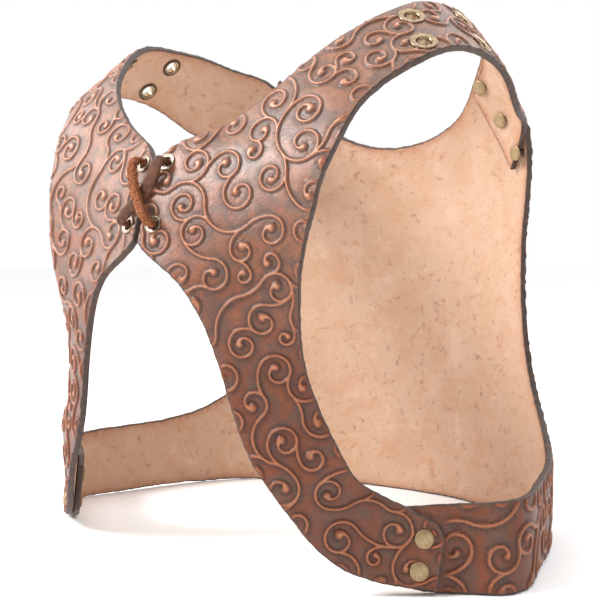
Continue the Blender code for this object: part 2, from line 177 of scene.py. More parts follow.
class Curve:
    """A natural cubic spline through points of any dimension, read at a length along its chords."""

    def __init__(self, points, lengths=None):
        self.points = np.array(points, float)
        steps = np.linalg.norm(np.diff(self.points, axis=0), axis=1)
        self.at = np.concatenate([[0.0], np.cumsum(steps)]) if lengths is None else lengths
        gaps = np.diff(self.at)
        matrix = np.eye(len(self.at))
        right = np.zeros_like(self.points)
        for i in range(1, len(self.at) - 1):
            matrix[i, i - 1:i + 2] = gaps[i - 1], 2 * (gaps[i - 1] + gaps[i]), gaps[i]
            slopes = np.diff(self.points[i - 1:i + 2], axis=0) / gaps[i - 1:i + 1, None]
            right[i] = 6 * (slopes[1] - slopes[0])
        self.bends = np.linalg.solve(matrix, right)

    def __call__(self, lengths):
        lengths = np.clip(lengths, self.at[0], self.at[-1])
        i = np.clip(np.searchsorted(self.at, lengths) - 1, 0, len(self.at) - 2)
        gap = (self.at[i + 1] - self.at[i])[..., None]
        b = (lengths - self.at[i])[..., None] / gap
        a = 1 - b
        smooth = ((a**3 - a) * self.bends[i] + (b**3 - b) * self.bends[i + 1]) * gap**2 / 6
        return a * self.points[i] + b * self.points[i + 1] + smooth


class Sheet:
    """A panel's outer face, addressed by flat coordinates or by true lengths on the leather laid flat."""

    outward = 1

    def frame(self, flat):
        """The point, the two directions along the face and the outward normal."""
        step = 0.05
        first, second = ((self.point(flat + way) - self.point(flat - way)) / (2 * step)
                         for way in ([step, 0], [0, step]))
        return self.point(flat), first, second, unit(np.cross(first, second) * self.outward)

    def offset(self, flat, out):
        point, _, _, normal = self.frame(flat)
        return point + normal * out

    def nearest(self, target, start):
        """Flat coordinates of the face's point nearest a target."""
        flat = np.array(start, float)
        for _ in range(20):
            point, first, second, _ = self.frame(flat)
            jacobian = np.stack([first, second], axis=1)
            flat += np.clip(np.linalg.pinv(jacobian) @ (target - point), -4, 4)
        return flat


class BackSheet(Sheet):
    """Flat coordinates are (length along the plan, height), which are already true lengths."""

    outward = -1

    def __init__(self):
        self.hem = Curve(HEM_PLAN)
        self.upper = Curve(UPPER_PLAN, self.hem.at)

    def point(self, flat):
        along, z = flat[..., 0], flat[..., 1]
        share = np.clip(z / UPPER_Z, 0, 1.05)[..., None]
        plan = self.hem(np.abs(along)) * (1 - share) + self.upper(np.abs(along)) * share
        lean = LEAN * np.maximum(z - LEAN_FROM_Z, 0) ** 2
        return np.stack([plan[..., 0] * np.sign(along), plan[..., 1] - lean, z], axis=-1)

    def at_xz(self, x, z):
        low, high = 0.0, 160.0
        for _ in range(40):
            middle = (low + high) / 2
            low, high = (middle, high) if self.point(np.array([middle, z]))[0] < x else (low, middle)
        return np.array([low, z])

    def laid(self, flat):
        return flat

    def flat_of(self, laid):
        return laid


class FrontSheet(Sheet):
    """The left front panel. Flat coordinates are (length along the strip, share of the width x WIDTH)."""

    WIDTH = 60.0
    SPARE = 3.0

    def __init__(self, back):
        layer = THICK + LAYER_GAP

        def on_back(ends, out):
            neck, arm = np.array(ends, float)
            return [back.offset(flat, out) for flat in (neck, (neck + arm) / 2, arm)]

        rows = [on_back([back.at_xz(*end) for end in ends], -layer) for ends in SHOULDER_END]
        middles = [np.add(neck, arm) / 2 for neck, arm, _ in FRONT_STATIONS]
        for i, (neck, arm, bulge) in enumerate(FRONT_STATIONS):
            along = middles[min(i + 1, len(middles) - 1)] - middles[max(i - 1, 0)]
            out = np.cross(along, np.subtract(arm, neck))
            rows.append([neck, middles[i] + bulge * out / np.linalg.norm(out), arm])
        rows = np.array(rows + [on_back(ends, layer) for ends in WAIST_END])
        middle = Curve(rows[:, 1])
        self.at = middle.at
        self.curves = [Curve(rows[:, k], self.at) for k in range(3)]
        self.length = self.at[-1]
        self.lay_flat()

    def point(self, flat):
        share = (flat[..., 1] / self.WIDTH)[..., None]
        neck, middle, arm = (curve(flat[..., 0]) for curve in self.curves)
        return (neck * (1 - share) * (1 - 2 * share) + middle * 4 * share * (1 - share)
                + arm * share * (2 * share - 1))

    def frame(self, flat):
        inside = np.array(flat, float)
        inside[..., 0] = np.clip(inside[..., 0], 0.06, self.length - 0.06)
        _, first, second, normal = super().frame(inside)
        return self.point(flat), first, second, normal

    def at_station(self, station, share):
        return np.array([np.interp(station, range(len(self.at)), self.at), share * self.WIDTH])

    def centre_edge(self, along):
        widths = np.linspace(0, self.WIDTH / 2, 400)
        x = self.point(np.stack([np.full_like(widths, along), widths], axis=-1))[:, 0]
        return widths[np.argmax(x >= CENTRE_EDGE_X)] if x[0] < CENTRE_EDGE_X else 0.0

    def lay_flat(self):
        """Unrolls the strip into the plane, one narrow pair of triangles after another."""
        def third(a, b, from_a, from_b):
            way = (b - a) / np.linalg.norm(b - a)
            along = (from_a**2 - from_b**2 + np.dot(b - a, b - a)) / (2 * np.linalg.norm(b - a))
            up = math.sqrt(max(from_a**2 - along**2, 0))
            return a + way * along + np.array([-way[1], way[0]]) * up

        marks = np.linspace(0, self.length, 506)
        neck, arm = self.curves[0](marks), self.curves[2](marks)
        span = np.linalg.norm
        laid = [(np.zeros(2), np.array([span(arm[0] - neck[0]), 0]))]
        for i in range(1, len(marks)):
            old_neck, old_arm = laid[-1]
            new_neck = third(old_neck, old_arm, span(neck[i] - neck[i - 1]), span(neck[i] - arm[i - 1]))
            new_arm = third(new_neck, old_arm, span(arm[i] - neck[i]), span(arm[i] - arm[i - 1]))
            laid.append((new_neck, new_arm))
        laid = np.array(laid).reshape(-1, 4)
        first = laid[0] + (laid[0] - laid[1]) / (marks[1] - marks[0]) * self.SPARE
        last = laid[-1] + (laid[-1] - laid[-2]) / (marks[1] - marks[0]) * self.SPARE
        self.marks = np.concatenate([[-self.SPARE], marks, [self.length + self.SPARE]])
        self.table = np.concatenate([[first], laid, [last]])

    def laid(self, flat):
        """Position on the leather laid flat."""
        row = np.stack([np.interp(flat[..., 0], self.marks, self.table[:, k]) for k in range(4)], axis=-1)
        share = (flat[..., 1] / self.WIDTH)[..., None]
        return row[..., :2] * (1 - share) + row[..., 2:] * share

    def flat_of(self, laid):
        """The inverse of laid, by Newton steps from the nearest of a coarse set of known points."""
        shares = np.linspace(0, self.WIDTH, 9)
        known = np.array([(along, share) for along in np.arange(0, self.length, 6) for share in shares])
        flat = known[nearest_index(self.laid(known), laid)[0]]
        for _ in range(6):
            miss = laid - self.laid(flat)
            first, second = (self.laid(flat + way) - self.laid(flat - way) for way in ([0.5, 0], [0, 0.5]))
            area = first[:, 0] * second[:, 1] - first[:, 1] * second[:, 0]
            area = np.where(np.abs(area) < 0.02, 0.02, area)
            step = np.stack([miss[:, 0] * second[:, 1] - miss[:, 1] * second[:, 0],
                             first[:, 0] * miss[:, 1] - first[:, 1] * miss[:, 0]], axis=-1) / area[:, None]
            flat = flat + np.clip(step, -6, 6)
        return flat


class Scrollwork:
    """Scrolling stems with curled ends that fill a flat outline."""

    CELL = 0.5  # of the grid that marks where strokes already are
    MARGIN, BORDER = 10.0, 14  # strokes may reach MARGIN outside the outline; the grid reaches BORDER further
    AREA_PER_STEM, STEM_REACH = 130, 4.9
    CURLS = ((7.0, 0.10, 4.7), (6.0, 0.15, 4.4), (5.2, 0.2, 4.2), (4.6, 0.25, 4.0), (4.0, 0.3, 3.8),
             (3.5, 0.3, 3.5), (3.0, 0.2, 3.3))  # radius, share of the tries, room kept round the stroke

    def __init__(self, outline, seed, bold):
        self.rng = np.random.default_rng(seed)
        self.bold = bold
        self.low = outline.min(axis=0) - self.MARGIN - self.BORDER
        self.high = outline.max(axis=0) + self.MARGIN + self.BORDER
        self.taken = np.zeros(np.ceil((self.high - self.low) / self.CELL).astype(int) + 1, bool)
        self.close_outside(outline)
        self.strokes = []
        area = np.prod(self.high - self.low)
        for _ in range(int(area / self.AREA_PER_STEM)):
            self.long_stem()
        open_area = (~self.taken).sum() * self.CELL**2
        for radius, share, reach in self.CURLS:
            for _ in range(int(open_area * share * 2)):
                self.branch(radius, reach)

    def close_outside(self, outline):
        """Marks the cells further than MARGIN outside the outline as taken."""
        xs = self.low[0] + self.CELL * np.arange(self.taken.shape[0])
        self.taken[:] = True
        wide = Outline(outline).grown(self.MARGIN)
        for j in range(self.taken.shape[1]):
            self.taken[wide.contains_row(xs, self.low[1] + self.CELL * j), j] = False

    def cells(self, points):
        found = ((points - self.low) / self.CELL).astype(int)
        return tuple(np.clip(found, 0, np.array(self.taken.shape) - 1).T)

    def free(self, points):
        return not self.taken[self.cells(points)].any()

    def add(self, points, headings, bends, half, reach):
        """Keeps a stroke, and takes the cells within its reach."""
        count = int(reach / self.CELL)
        i, j = self.cells(points)
        last_i, last_j = np.array(self.taken.shape) - 1
        for a in range(-count, count + 1):
            for b in range(-count, count + 1):
                if a * a + b * b <= count * count:
                    self.taken[np.clip(i + a, 0, last_i), np.clip(j + b, 0, last_j)] = True
        self.strokes.append((points, headings, bends, half, reach))

    @staticmethod
    def trace(start, heading, arcs):
        """Points, headings and bends of joined arcs, each (first radius, last radius, signed turn)."""
        headings, bends, steps = [], [], []
        for first, last, turn in arcs:
            count = max(3, math.ceil((first + last) / 2 * abs(turn) / STROKE_STEP))
            radii = np.linspace(first, last, count)
            headings.append(heading + turn * np.arange(1, count + 1) / count)
            bends.append(np.sign(turn) / radii)
            steps.append(radii * abs(turn) / count)
            heading = headings[-1][-1]
        headings, bends, steps = (np.concatenate(part) for part in (headings, bends, steps))
        moves = steps[:, None] * np.stack([np.cos(headings), np.sin(headings)], axis=-1)
        return start + np.cumsum(moves, axis=0), headings, bends

    def volute(self, radius, sign):
        """Arcs of a curl of this outer radius."""
        turns = self.rng.uniform(0.8, 1.0) if radius < 6 else self.rng.uniform(1.05, 1.3)
        total = sign * turns * 2 * math.pi
        end = max(radius * 0.28, 2.2 if radius < 6 else 1.9)
        return [(radius * 1.25, radius, total * 0.3), (radius, radius * 0.62, total * 0.4),
                (radius * 0.62, end, total * 0.3)]

    def halves(self, points, bulb):
        """Half widths along a stroke that ends in a bulb."""
        lengths = np.arange(len(points))[::-1] * STROKE_STEP
        half = self.bold * STEM_HALF * (0.85 + 0.15 * np.clip(lengths / 12, 0, 1))
        return half + (bulb - half) * np.clip(1 - lengths / (bulb * 1.7), 0, 1) ** 1.2

    def long_stem(self):
        """Tries a winding stem with a curl at each end."""
        start = self.rng.uniform(self.low, self.high)
        if not self.free(start + self.rng.uniform(-9, 9, (30, 2))):
            return
        heading = self.rng.uniform(0, 2 * math.pi)
        sign = first = self.rng.choice([-1, 1])
        arcs = []
        for _ in range(self.rng.integers(1, 5)):
            radius = self.rng.uniform(11, 21)
            arcs.append((radius, radius, sign * self.rng.uniform(1.2, 2.3)))
            sign = -sign
        tail = self.trace(start, heading, arcs + self.volute(self.rng.uniform(5.8, 8.0), sign))
        curl = self.volute(self.rng.uniform(5.5, 7.5), -first * self.rng.choice([-1, 1]))
        head = self.trace(start, heading + math.pi, [(16, 16, first * 0.8)] + curl)
        if self.free(np.concatenate([head[0], tail[0]])):
            for part in (tail, head):
                self.add(*part, self.halves(part[0], self.rng.uniform(2.2, 2.8)), self.STEM_REACH)

    def branch(self, radius, reach):
        """Tries a side stem with a curl, leaving some stroke smoothly."""
        if not self.strokes:
            return
        points, headings, bends, _, near = self.strokes[self.rng.integers(len(self.strokes))]
        at = self.rng.integers(0, max(1, int(len(points) * 0.8)))
        back = self.rng.random() < 0.2
        heading = headings[at] + (math.pi if back else 0)
        parent = -bends[at] if back else bends[at]
        sign = self.rng.choice([-1, 1])
        stalk = self.rng.uniform(9, 22)
        ahead = heading + sign * 0.5
        look = points[at] + (reach + radius + 3) * np.array([math.cos(ahead), math.sin(ahead)])
        if abs(sign / stalk - parent) < 0.05 or not self.free(look[None]):
            return
        ends = self.volute(radius * self.rng.uniform(0.93, 1.07), self.rng.choice([-1, 1]))
        arcs = [(stalk, stalk, sign * self.rng.uniform(0.1, 1.2))] + ends
        path = self.trace(points[at], heading, arcs)
        apart = 1.15 * math.sqrt(2 * (near + 0.6) / abs(sign / stalk - parent))
        test = path[0][int(apart / STROKE_STEP):]
        if len(test) < 10 or not self.free(test) or not self.free(test[-len(test) // 2:].mean(axis=0)[None]):
            return
        bulb = self.rng.uniform(2.2, 3.0) if radius > 4 else self.rng.uniform(1.6, 2.0)
        self.add(*path, self.halves(path[0], bulb), reach)

    def nearest(self, points):
        """Distance from each point to the nearest stroke's middle line, and the stroke's half width there."""
        lines = np.concatenate([stroke[0] for stroke in self.strokes])
        halves = np.concatenate([stroke[3] for stroke in self.strokes])
        found = nearest_index(lines, points)
        return found[1], halves[found[0]]

    def gap(self, points):
        away, half = self.nearest(points)
        return away - half


class Outline:
    """A closed ring of 2-D points, anticlockwise."""

    def __init__(self, ring):
        after = np.roll(ring, -1, axis=0)
        if (ring[:, 0] * after[:, 1] - ring[:, 1] * after[:, 0]).sum() < 0:
            ring = ring[::-1]
        self.ring = ring

    def grown(self, by):
        """The ring moved outwards, or inwards where by is negative."""
        ways = np.roll(self.ring, -1, axis=0) - np.roll(self.ring, 1, axis=0)
        outward = np.stack([ways[:, 1], -ways[:, 0]], axis=-1)
        return Outline(self.ring + unit(outward) * np.reshape(by, (-1, 1)))

    def contains_row(self, xs, y):
        """Which of the points (x, y) on one level lie inside."""
        a, b = self.ring, np.roll(self.ring, -1, axis=0)
        cross = (a[:, 1] > y) != (b[:, 1] > y)
        a, b = a[cross], b[cross]
        at = np.sort(a[:, 0] + (y - a[:, 1]) * (b[:, 0] - a[:, 0]) / (b[:, 1] - a[:, 1]))
        return np.searchsorted(at, xs) % 2 == 1

    def grid(self, step):
        """A triangular grid of points inside."""
        low, high = self.ring.min(axis=0), self.ring.max(axis=0)
        rows = []
        for row, y in enumerate(np.arange(low[1], high[1], step * math.sqrt(0.75))):
            xs = np.arange(low[0] + (row % 2) * step / 2, high[0], step)
            xs = xs[self.contains_row(xs, y)]
            rows.append(np.stack([xs, np.full_like(xs, y)], axis=-1))
        return np.concatenate(rows)


def walk(points, step):
    """The polyline's points at even steps, with both ends."""
    points = np.array(points, float)
    lengths = np.concatenate([[0.0], np.cumsum(np.linalg.norm(np.diff(points, axis=0), axis=1))])
    marks = np.linspace(0, lengths[-1], max(2, math.ceil(lengths[-1] / step) + 1))
    return np.stack([np.interp(marks, lengths, points[:, k]) for k in (0, 1)], axis=-1)


def back_outline():
    """The back panel's outline laid flat."""
    stretches, corner = [], None
    for entry in BACK_OUTLINE:
        if entry is None:
            stretches.append([corner] if corner else [])
            continue
        stretches[-1].append(entry)
        corner = entry
    half = []
    for stretch in stretches:
        curve = Curve(stretch)
        half.extend(walk(curve(np.linspace(0, curve.at[-1], 600)), EDGE_STEP)[:-1])
    right = np.maximum(half, 0)
    return np.concatenate([right, [BACK_OUTLINE[-1]], right[:0:-1] * [-1, 1]])


def front_outline(sheet):
    """The left front panel's outline laid flat."""
    along = np.linspace(0, sheet.length, 1500)
    inner = np.stack([along, [sheet.centre_edge(a) for a in along]], axis=-1)
    turn = np.linspace(0, np.pi / 2, 16)
    end = np.stack([sheet.length - WAIST_CORNER * (1 - np.cos(turn)),
                    sheet.WIDTH - 2 * WAIST_CORNER * (1 - np.sin(turn))], axis=-1)
    stretches = [inner, np.array([inner[-1], end[0]]), end,
                 np.linspace(end[-1], (0, sheet.WIDTH), 600), np.array([(0, sheet.WIDTH), (0, 0)])]
    return np.concatenate([walk(sheet.laid(stretch), EDGE_STEP)[:-1] for stretch in stretches])


def smooth_noise(rng, count, width):
    """A closed run of random values from about -1 to 1, smoothed over width of them."""
    values = rng.normal(size=count)
    kernel = np.hanning(width + 2)
    values = np.convolve(np.tile(values, 3), kernel / np.sqrt((kernel**2).sum()), "same")[count:2 * count]
    return np.clip(values, -2, 2)


def triangles(rings, points):
    """A constrained triangulation: all points, with the rings' own first, and the faces inside."""
    verts, edges = [], []
    for ring in rings:
        first = len(verts)
        edges += [(first + i, first + (i + 1) % len(ring)) for i in range(len(ring))]
        verts += list(ring)
    verts += list(points)
    found, _, faces, _, _, _ = delaunay_2d_cdt([Vector(p) for p in verts], edges, [], 2, 1e-5)
    return np.array([tuple(p) for p in found]), faces


class Panel:
    """One leather panel: embossed outer face, cut edge, flesh side and punched holes."""

    OUTER, CUT, FLESH = 0, 1, 2

    def __init__(self, name, sheet, outline, holes, buried, finishes, bold=1.0, fine=FINE_STEP):
        self.sheet, self.buried, self.holes, self.fine = sheet, buried, holes, fine
        self.rng = np.random.default_rng(SEEDS[name])
        self.outline = Outline(outline)
        self.scrolls = Scrollwork(self.outline.ring, SEEDS[name], bold)
        self.verts, self.faces, self.kinds = [], [], []
        self.values = {"bead": [], "crease": [], "rim": []}
        self.build()
        self.write(name, finishes)

    def relief(self, laid):
        """Height of the outer face, with how far it is bead and crease."""
        away, half = self.scrolls.nearest(laid)
        bead = np.clip(1 - (away / half) ** 2, 0, 1)
        beyond = np.maximum(away - half, 0)
        crease = np.where(away < half, (away / half) ** 4, np.exp(-beyond / 0.75))
        height = BEAD_HEIGHT * (0.9 + 0.1 * half) * bead**0.65
        between = PILLOW * (1 - np.exp(-beyond / 2.4)) - GROOVE_DEPTH * np.exp(-beyond / 0.6)
        height += np.where(away < half, 0, between)
        pressed = np.ones(len(laid))
        for centre, _, flange in self.holes:
            from_centre = np.linalg.norm(laid - centre, axis=1)
            pressed *= 0.02 + 0.98 * smoothstep(flange - 0.2, flange + 1.0, from_centre)
        pressed *= 1 - 0.75 * self.buried(self.sheet.flat_of(laid))
        inside = nearest_index(self.outline.ring, laid)[1]
        pressed *= EDGE_RELIEF + (1 - EDGE_RELIEF) * smoothstep(0.5, 4.0, inside)
        return height * pressed, bead * pressed, crease * pressed

    def put(self, laid, out, bead=0.0, crease=0.0, rim=0.0):
        """Adds points standing out from the face; returns their first index."""
        first = len(self.verts)
        flat = self.sheet.flat_of(laid)
        place = self.sheet.offset(flat, np.reshape(out, (-1, 1)) * np.ones((len(laid), 1)))
        place[:, 2] = np.maximum(place[:, 2], 0)
        self.verts.extend(place)
        for key, value in (("bead", bead), ("crease", crease), ("rim", rim)):
            self.values[key].extend(value + np.zeros(len(laid)))
        return first

    def add_faces(self, faces, kind):
        self.faces.extend(faces)
        self.kinds.extend([kind] * len(faces))

    def bridge(self, upper, lower, count):
        self.add_faces([(upper + i, lower + i, lower + (i + 1) % count, upper + (i + 1) % count)
                        for i in range(count)], self.CUT)

    def build(self):
        count = len(self.outline.ring)
        cut = self.outline.grown(-0.15 + 0.08 * smooth_noise(self.rng, count, 5)
                                 + 0.12 * smooth_noise(self.rng, count, 25))
        rim = cut.grown(-BEVEL)
        turn = np.arange(24) * 2 * np.pi / 24
        circle = np.stack([np.cos(turn), np.sin(turn)], axis=-1)
        punched = [centre + radius * circle for centre, radius, _ in self.holes]
        rings = [rim.ring] + punched

        fine, plain = rim.grid(self.fine), rim.grid(PLAIN_STEP)
        fine = fine[self.scrolls.gap(fine) < NEAR_STROKE]
        plain = plain[self.scrolls.gap(plain) >= NEAR_STROKE + self.fine / 2]
        laid, faces = self.fill(rings, np.concatenate([fine, plain]), self.fine * 0.5)
        outer = self.put(laid, *self.relief(laid))
        self.add_faces((faces + outer).tolist(), self.OUTER)

        laid, faces = self.fill(rings, rim.grid(FLESH_STEP), FLESH_STEP * 0.4)
        edge_distance = nearest_index(cut.ring, laid)[1]
        depths = -THICK + 0.05 * self.rng.normal(size=len(laid))
        flesh = self.put(laid, depths, rim=np.exp(-edge_distance / 2.6))
        self.add_faces((faces[:, ::-1] + flesh).tolist(), self.FLESH)

        height = self.relief(rim.ring)[0]
        upper = outer
        for share, depth in EDGE_PROFILE:
            rough = 0.09 * smooth_noise(self.rng, count, 2) + 0.06 * smooth_noise(self.rng, count, 7)
            ring = rim.grown(BEVEL * share + rough * min(1, 2 * share)).ring
            lower = self.put(ring, height * max(0, 1 - depth / 1.2) - depth)
            self.bridge(upper, lower, count)
            upper = lower
        self.bridge(upper, flesh, count)
        first = count
        for ring in punched:
            self.bridge(flesh + first, outer + first, len(ring))
            first += len(ring)

    def off_holes(self, points, share):
        """Which points lie in no hole, where each hole counts with this share of its radius."""
        kept = np.ones(len(points), bool)
        for centre, radius, _ in self.holes:
            kept &= np.linalg.norm(points - centre, axis=1) > share * radius
        return kept

    def fill(self, rings, points, room):
        """Points and triangles within the rings, from those of the given points that keep clear of them."""
        points = points[nearest_index(np.concatenate(rings), points)[1] > room]
        laid, faces = triangles(rings, points[self.off_holes(points, 1.0)])
        faces = np.array(faces)
        return laid, faces[self.off_holes(laid[faces].mean(axis=1), CLOSES_HOLE)]

    def write(self, name, finishes):
        verts, faces = np.array(self.verts), self.faces
        mirrored = name.endswith("right")
        if mirrored:
            verts[:, 0] *= -1
        if mirrored != (self.sheet.outward < 0):
            faces = [tuple(reversed(face)) for face in faces]
        mesh = build_mesh(name, verts, faces, *finishes, **self.values)
        mesh.polygons.foreach_set("material_index", self.kinds)
        finish_piece(add_object(name + "_leather", mesh), "embossed_leather", name)


def build_mesh(name, verts, faces, *finishes, **values):
    """A smooth mesh from points in millimetres, with its materials and values at its points."""
    mesh = bpy.data.meshes.new(name)
    mesh.from_pydata((np.array(verts) * MM).tolist(), [], faces)
    mesh.shade_smooth()
    for key, value in values.items():
        mesh.attributes.new(key, "FLOAT", "POINT").data.foreach_set("value", np.array(value, np.float32))
    for finish in finishes:
        mesh.materials.append(finish)
    return mesh


def add_object(name, mesh, place=None):
    made = bpy.data.objects.new(name, mesh)
    if place is not None:
        made.matrix_world = place
    bpy.context.scene.collection.objects.link(made)
    return made


def finish_piece(piece, slot, *nodes):
    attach(piece, "root")
    if nodes:
        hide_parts(*nodes)


# Materials


class Nodes:
    """A material under construction; each call adds a node and returns its output."""

    def __init__(self, name):
        self.material = bpy.data.materials.new(name)
        self.material.use_nodes = True
        self.tree = self.material.node_tree
        self.shader = self.tree.nodes["Principled BSDF"]
        self.space = self.tree.nodes.new("ShaderNodeTexCoord").outputs["Object"]

    def node(self, kind, inputs, output=0, **settings):
        made = self.tree.nodes.new(kind)
        for key, value in settings.items():
            setattr(made, key, value)
        for key, value in inputs.items():
            self.plug(made.inputs[key], value)
        return made.outputs[output]

    def plug(self, socket, value):
        """Links a node's output, or sets a value. A colour of three values is sRGB from 0 to 255."""
        if isinstance(value, bpy.types.NodeSocket):
            self.tree.links.new(value, socket)
        elif socket.type == "RGBA" and len(value) == 3:
            socket.default_value = srgb(*value)
        else:
            socket.default_value = value

    def noise(self, size, detail=3.0, roughness=0.5, distortion=0.0, stretch=(1, 1, 1)):
        """Noise whose features are about size millimetres across."""
        space = self.node("ShaderNodeMapping", {"Vector": self.space, "Scale": stretch})
        return self.node("ShaderNodeTexNoise", {
            "Vector": space, "Scale": 1 / (size * MM), "Detail": detail, "Roughness": roughness,
            "Distortion": distortion})

    def cells(self, size):
        return self.node("ShaderNodeTexVoronoi", {"Vector": self.space, "Scale": 1 / (size * MM)}, "Distance")

    def attribute(self, name):
        return self.node("ShaderNodeAttribute", {}, "Fac", attribute_name=name)

    def maths(self, operation, a, b=0.0, clamp=False):
        return self.node("ShaderNodeMath", {0: a, 1: b}, operation=operation, use_clamp=clamp)

    def ranged(self, value, low, high, new_low=0.0, new_high=1.0):
        return self.node("ShaderNodeMapRange", {"Value": value, "From Min": low, "From Max": high,
                                                "To Min": new_low, "To Max": new_high})

    def mix(self, share, a, b):
        made = self.tree.nodes.new("ShaderNodeMix")
        made.data_type = "RGBA"
        for index, value in ((0, share), (6, a), (7, b)):
            self.plug(made.inputs[index], value)
        return made.outputs[2]

    def stain(self, color, tint, strength, mask, low, high):
        """The colour with a tint laid over it where the mask rises from low to high."""
        return self.mix(self.ranged(mask, low, high, 0.0, strength), color, tint)

    def ramp(self, value, *stops):
        made = self.tree.nodes.new("ShaderNodeValToRGB")
        self.plug(made.inputs[0], value)
        elements = made.color_ramp.elements
        while len(elements) < len(stops):
            elements.new(0.5)
        for element, (place, color) in zip(elements, stops):
            element.position = place
            element.color = srgb(*color)
        return made.outputs[0]

    def bump(self, height, distance, strength=1.0, under=None):
        inputs = {"Height": height, "Distance": distance * MM, "Strength": strength}
        if under is not None:
            inputs["Normal"] = under
        return self.node("ShaderNodeBump", inputs)

    def finish(self, **inputs):
        for key, value in inputs.items():
            self.plug(self.shader.inputs[key.replace("_", " ")], value)
        return self.material


def srgb(*values):
    """The linear colour of three sRGB values, each from 11 to 255."""
    return (*(((value / 255 + 0.055) / 1.055) ** 2.4 for value in values), 1)


def embossed_leather():
    n = Nodes("embossed_leather")
    bead, crease = n.attribute("bead"), n.attribute("crease")
    height = n.node("ShaderNodeSeparateXYZ", {"Vector": n.space}, "Z")
    cloud = n.noise(38, 3, 0.55)
    blotch = n.noise(9, 4, 0.6, 0.4)
    grain = n.noise(1.1, 3, 0.6)
    streak = n.noise(3.2, 4, 0.65, 0.6)
    base = n.ramp(cloud, (0.3, (144, 88, 58)), (0.52, (158, 104, 73)), (0.72, (146, 102, 77)))
    # low rises towards the bottom: there the base colour is mixed to a darker, warmer brown as painted shade
    low = n.ranged(height, 0.22, 0.10)
    base = n.mix(n.maths("MULTIPLY", low, 0.92), base, (112, 50, 16))
    base = n.stain(base, (150, 70, 34), 0.55, n.noise(16, 3, 0.6, 0.8), 0.52, 0.68)
    base = n.stain(base, (86, 66, 56), 0.75, blotch, 0.42, 0.62)
    base = n.stain(base, (80, 50, 36), 0.4, streak, 0.45, 0.72)
    # painted shade: the bead flanks are darker and warmer towards the bottom
    flank = n.mix(n.maths("MULTIPLY", low, 0.5), (160, 90, 56), (138, 66, 24))
    color = n.stain(base, flank, 0.85, bead, 0.2, 0.6)
    # The bead crests are lightened: partly a worn finish, partly a painted highlight that fades towards the
    # bottom
    crest = n.ramp(blotch, (0.3, (204, 140, 100)), (0.7, (214, 166, 130)))
    crest_wear_and_highlight = n.ranged(low, 0.0, 1.0, 0.78, 0.32)
    color = n.mix(n.maths("MULTIPLY", n.ranged(bead, 0.72, 0.97), crest_wear_and_highlight), color, crest)
    # Beside the beads the leather is darkened: partly dark dye settled in the grooves, partly painted shade
    # along the beads
    dark = n.maths("MULTIPLY", crease, n.ranged(blotch, 0.2, 0.75, 1.0, 0.75))
    color = n.mix(dark, color, (38, 18, 11))
    color = n.stain(color, (56, 34, 24), 0.3, grain, 0.4, 0.62)
    rough = n.maths("ADD", n.ranged(grain, 0.3, 0.7, 0.36, 0.54), n.maths("MULTIPLY", crease, 0.15))
    fine = n.maths("ADD", n.maths("MULTIPLY", grain, 0.6), n.maths("MULTIPLY", n.cells(0.9), 0.4))
    normal = n.bump(fine, 0.16, 0.75, n.bump(streak, 0.3, 0.35))
    shine = n.ranged(low, 0.0, 1.0, 0.65, 0.38)
    return n.finish(Base_Color=color, Roughness=rough, Normal=normal, Specular_IOR_Level=shine,
                    Coat_Weight=0.1, Coat_Roughness=0.3)


def flesh_side():
    n = Nodes("flesh_side")
    cloud, blotch = n.noise(45, 3, 0.5), n.noise(14, 5, 0.62, 0.8)
    fibre = n.noise(0.9, 4, 0.7)
    color = n.ramp(cloud, (0.3, (186, 152, 125)), (0.5, (194, 164, 141)), (0.7, (192, 160, 133)))
    stains = (
        ((186, 134, 96), 0.55, blotch, 0.5, 0.74),
        ((214, 182, 160), 0.5, n.noise(22, 4, 0.65, 0.5), 0.55, 0.72),
        ((172, 126, 98), 0.4, fibre, 0.3, 0.75),
        ((112, 70, 48), 0.5, n.noise(1.7, 2, 0.5), 0.67, 0.75),
        ((122, 76, 54), 0.75, n.noise(4.2, 5, 0.72, 1.4), 0.66, 0.74),
        ((128, 88, 68), 0.6, n.noise(6, 4, 0.7, 0.5), 0.58, 0.7),
    )
    for stain in stains:
        color = n.stain(color, *stain)
    rim = n.maths("MULTIPLY", n.attribute("rim"), n.ranged(n.noise(3.5, 4, 0.7), 0.3, 0.65, 0.35, 1.1), True)
    color = n.mix(rim, color, (142, 76, 38))
    normal = n.bump(fibre, 0.25, 0.5, n.bump(blotch, 0.5, 0.3))
    return n.finish(Base_Color=color, Roughness=n.ranged(fibre, 0.3, 0.7, 0.68, 0.88), Normal=normal,
                    Specular_IOR_Level=0.3)


def cut_edge():
    n = Nodes("cut_edge")
    grime, fibre = n.noise(4, 4, 0.65), n.noise(0.7, 3, 0.7)
    color = n.ramp(grime, (0.3, (46, 34, 30)), (0.55, (74, 54, 46)), (0.75, (112, 72, 48)))
    color = n.stain(color, (30, 22, 20), 0.45, fibre, 0.45, 0.75)
    return n.finish(Base_Color=color, Roughness=n.ranged(grime, 0.3, 0.7, 0.45, 0.7),
                    Normal=n.bump(fibre, 0.3, 0.6, n.bump(grime, 0.4, 0.5)))


def old_metal(name, bright, dull, patina, least_rough):
    n = Nodes(name)
    cloud, pits, scratch = n.noise(2.5, 4, 0.6), n.noise(0.5, 2, 0.5), n.noise(1.2, 3, 0.6, 0, (1, 1, 8))
    color = n.mix(n.ranged(cloud, 0.35, 0.65), bright, dull)
    color = n.stain(color, patina, 0.7, pits, 0.55, 0.75)
    worn = n.ranged(cloud, 0.3, 0.7, least_rough, least_rough + 0.14)
    rough = n.maths("ADD", worn, n.ranged(pits, 0.5, 0.8, 0, 0.2))
    return n.finish(Base_Color=color, Metallic=1.0, Roughness=rough,
                    Normal=n.bump(pits, 0.04, 0.4, n.bump(scratch, 0.03, 0.3)))


